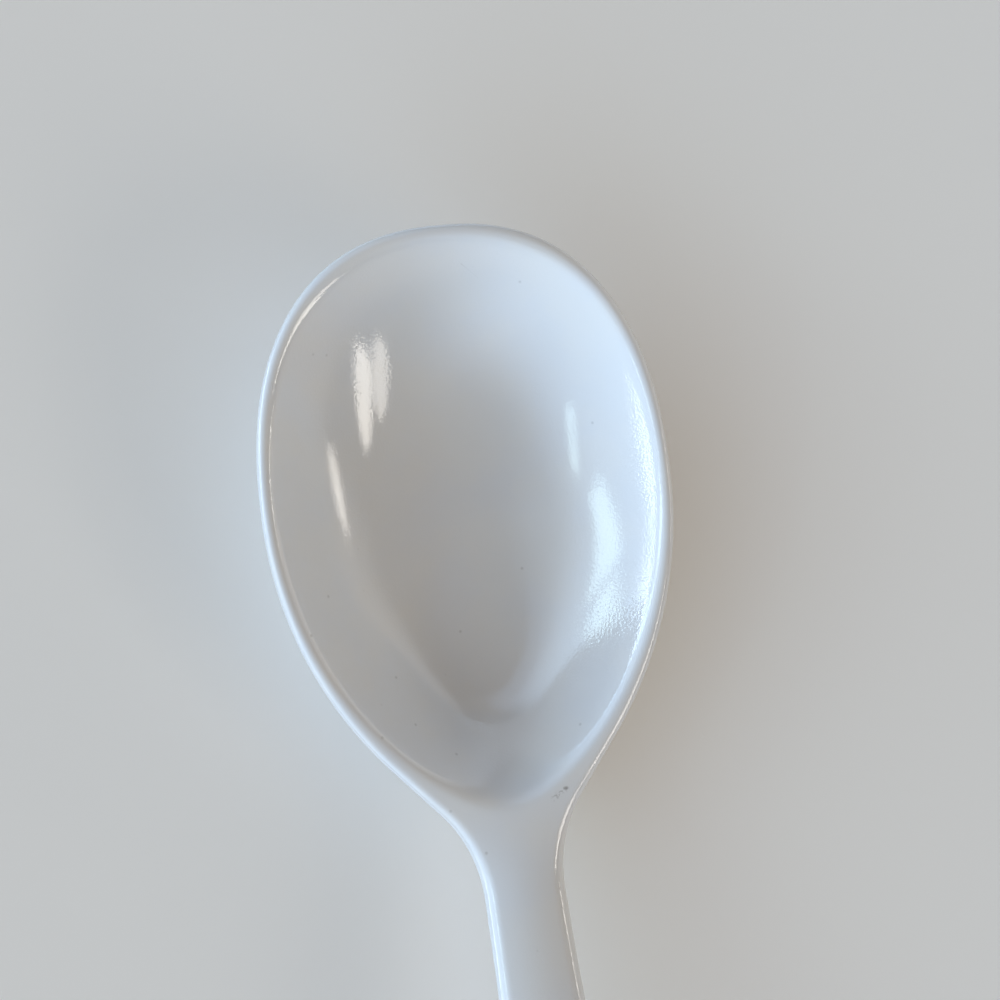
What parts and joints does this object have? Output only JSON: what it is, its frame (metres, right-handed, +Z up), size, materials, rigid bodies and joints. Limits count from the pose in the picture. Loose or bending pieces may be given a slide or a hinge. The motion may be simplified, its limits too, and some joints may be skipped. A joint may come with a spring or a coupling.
{
  "type": "serving spoon",
  "caption": "White gloss serving spoon moulded in one piece: deep egg-shaped bowl with a rounded rim and blunt tip, slim neck and arched handle that widens to a rounded end.",
  "frame": {"origin": "on the flat that the bowl rests on, under the widest line of the bowl, in the plane of the table", "axes": "+Y along the spoon towards the tip of the bowl, +Z up out of the bowl, +X to the right of the bowl seen from above with the tip away from the viewer"},
  "size_m": [0.065, 0.245, 0.0248],
  "materials": {
    "moulding": "high gloss, as moulded"
  },
  "bodies": {
    "root": {"bowl": "moulding", "rim": "moulding", "neck": "moulding", "handle": "moulding", "handle_end": "moulding"}
  },
  "joints": []
}
